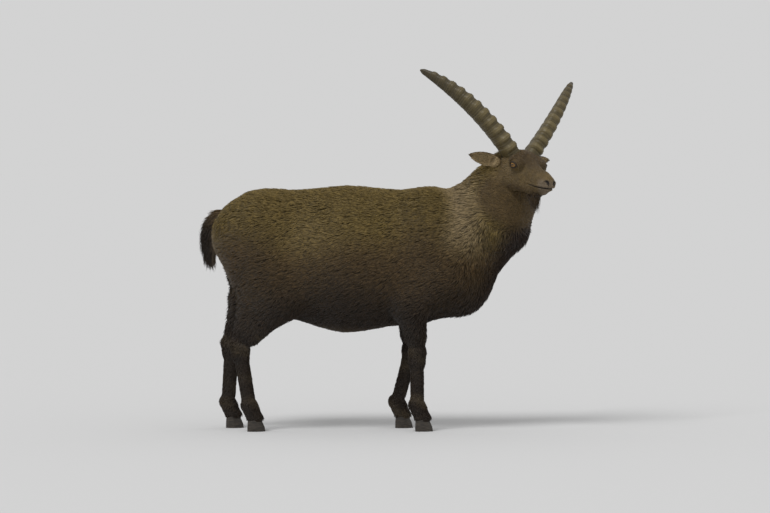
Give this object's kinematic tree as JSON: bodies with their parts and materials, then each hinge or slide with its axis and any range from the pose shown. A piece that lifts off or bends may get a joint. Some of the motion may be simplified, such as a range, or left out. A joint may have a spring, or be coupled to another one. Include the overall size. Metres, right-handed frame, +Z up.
{
  "type": "ibex",
  "caption": "Life-size alpine ibex, a stocky young male in dark autumn coat, standing with its head turned to the right, ridged horns spread in a V.",
  "frame": {"origin": "on the floor, under the middle of the whole animal's box", "axes": "+X towards the animal's front, +Y towards its left, +Z up"},
  "size_m": [1.3378, 0.524, 1.2782],
  "materials": {
    "coat": "dense brown hair",
    "dark_coat": "blackish brown hair",
    "horn": "ridged grey-brown horn",
    "hoof": "worn dark horn",
    "eye": "wet amber eye"
  },
  "bodies": {
    "root": {"torso": "coat", "neck": "coat", "head": "coat", "tail": "dark_coat", "fore_right_upper_leg": "coat", "fore_right_lower_leg": "dark_coat", "fore_right_hoof": "hoof", "fore_left_upper_leg": "coat", "fore_left_lower_leg": "dark_coat", "fore_left_hoof": "hoof", "hind_right_upper_leg": "coat", "hind_right_lower_leg": "dark_coat", "hind_right_hoof": "hoof", "hind_left_upper_leg": "coat", "hind_left_lower_leg": "dark_coat", "hind_left_hoof": "hoof", "horn_left": "horn", "ear_left": "coat", "eye_left": "eye", "horn_right": "horn", "ear_right": "coat", "eye_right": "eye"}
  },
  "joints": []
}
